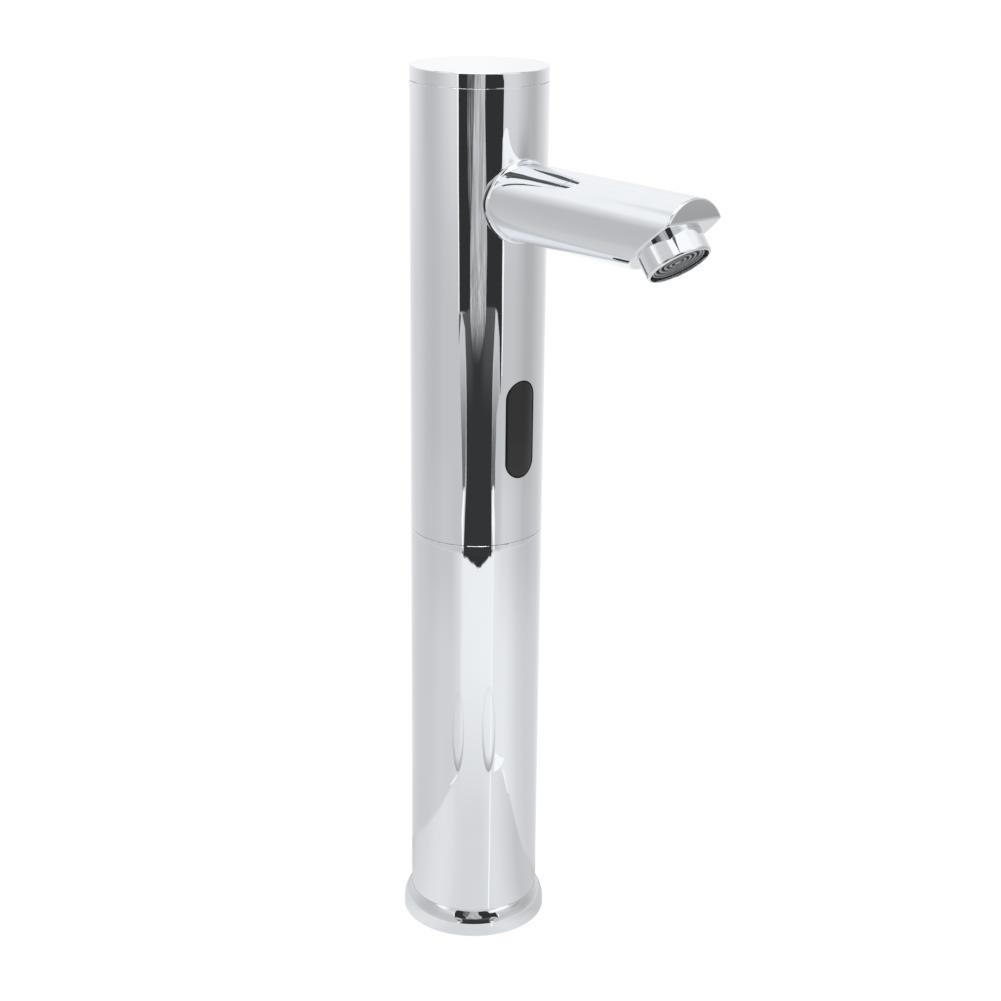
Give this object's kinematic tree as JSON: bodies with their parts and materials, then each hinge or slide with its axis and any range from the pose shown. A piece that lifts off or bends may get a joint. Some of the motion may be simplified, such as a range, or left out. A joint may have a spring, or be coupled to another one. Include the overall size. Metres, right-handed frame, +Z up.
{
  "type": "sensor tap",
  "caption": "Tall touchless basin tap: round chrome column with a flat cap, straight spout with slanted aerated outlet, sensor window, inner solenoid valve and battery case.",
  "frame": {"origin": "centre of the column on the deck, in the plane of the base flange's foot", "axes": "+Z up along the column, -Y towards the user along the spout, +X to the right of someone who looks along +Y"},
  "size_m": [0.0562, 0.1386, 0.3375],
  "materials": {
    "polished_chrome": "mirror-polished chrome plate",
    "cast_brass": "machined brass",
    "copper_tube": "drawn copper tube",
    "copper_wire": "enamelled copper wire",
    "stainless_steel": "plain stainless steel",
    "black_rubber": "matte black rubber",
    "black_window": "glossy black plastic",
    "clear_violet_resin": "tinted clear resin",
    "dark_plastic": "moulded dark grey plastic",
    "white_plastic": "moulded white plastic",
    "grey_plastic": "moulded light grey plastic",
    "green_board": "lacquered circuit board",
    "cell_sleeve": "shrink sleeve with no lettering",
    "red_wire": "insulated wire"
  },
  "bodies": {
    "column": {"base_flange": "polished_chrome", "base_gasket": "black_rubber", "base_insert": "cast_brass", "base_screws": "stainless_steel", "inlet_filter": "stainless_steel", "check_spring": "stainless_steel", "check_spider": "white_plastic", "riser_pipe": "copper_tube", "riser_orings": "black_rubber", "lower_body": "polished_chrome", "coupling_ring": "cast_brass", "coupling_orings": "black_rubber", "grub_screw": "stainless_steel", "upper_body": "polished_chrome", "battery_cradle": "dark_plastic", "battery_case": "dark_plastic", "battery_cells": "cell_sleeve", "battery_contacts": "stainless_steel", "battery_lid": "dark_plastic", "battery_lead": "red_wire", "sensor_window": "black_window", "window_gasket": "black_rubber", "sensor_housing": "dark_plastic", "sensor_board": "green_board", "infrared_emitter": "clear_violet_resin", "infrared_receiver": "black_window", "housing_cover": "dark_plastic", "cover_screws": "stainless_steel", "sensor_bracket": "dark_plastic", "valve_block": "cast_brass", "block_circlip": "stainless_steel", "valve_bonnet": "dark_plastic", "bonnet_screws": "stainless_steel", "core_tube": "stainless_steel", "plunger_spring": "stainless_steel", "coil_bobbin": "dark_plastic", "coil_winding": "copper_wire", "coil_yoke": "stainless_steel", "solenoid_lead": "red_wire", "outlet_elbow": "cast_brass", "elbow_orings": "black_rubber", "spout_waterway": "copper_tube", "spout": "polished_chrome", "outlet_collar": "polished_chrome"},
    "cap": {"top_cap": "polished_chrome", "cap_oring": "black_rubber"},
    "aerator_washer": {"aerator_seal": "black_rubber"},
    "aerator": {"aerator_shell": "grey_plastic", "aerator_grid": "grey_plastic", "aerator_screen": "stainless_steel", "flow_regulator": "white_plastic"},
    "plunger": {"plunger": "stainless_steel"},
    "diaphragm": {"diaphragm": "black_rubber"},
    "check_poppet": {"check_poppet": "white_plastic"}
  },
  "joints": [
    {"name": "cap_lift", "type": "slide", "parent": "column", "child": "cap", "axis": [0, 0, 1], "range_m": [0, 0.012]},
    {"name": "aerator_advance", "type": "slide", "parent": "column", "child": "aerator_washer", "axis": [0, -0.6361, -0.7716], "range_m": [0, 0.00601]},
    {"name": "aerator_turn", "type": "hinge", "parent": "aerator_washer", "child": "aerator", "pos_m": [0, -0.09673, 0.28891], "axis": [0, -0.6361, -0.7716], "range_deg": [0, 2160]},
    {"name": "plunger_slide", "type": "slide", "parent": "column", "child": "plunger", "axis": [0, 0, -1], "range_m": [0, 0.0016], "stiffness_N_per_m": 150, "springref_m": -0.006, "deforming": ["plunger_spring"]},
    {"name": "diaphragm_lift", "type": "slide", "parent": "column", "child": "diaphragm", "axis": [0, 0, -1], "range_m": [0, 0.00121]},
    {"name": "check_valve_lift", "type": "slide", "parent": "column", "child": "check_poppet", "axis": [0, 0, 1], "range_m": [0, 0.002], "stiffness_N_per_m": 20, "springref_m": -0.004, "deforming": ["check_spring"]}
  ],
  "couplings": [
    {"joint": "aerator_advance", "follows": "aerator_turn", "m_per_rad": 0.00015915},
    {"joint": "diaphragm_lift", "follows": "plunger_slide", "ratio": 0.75}
  ]
}
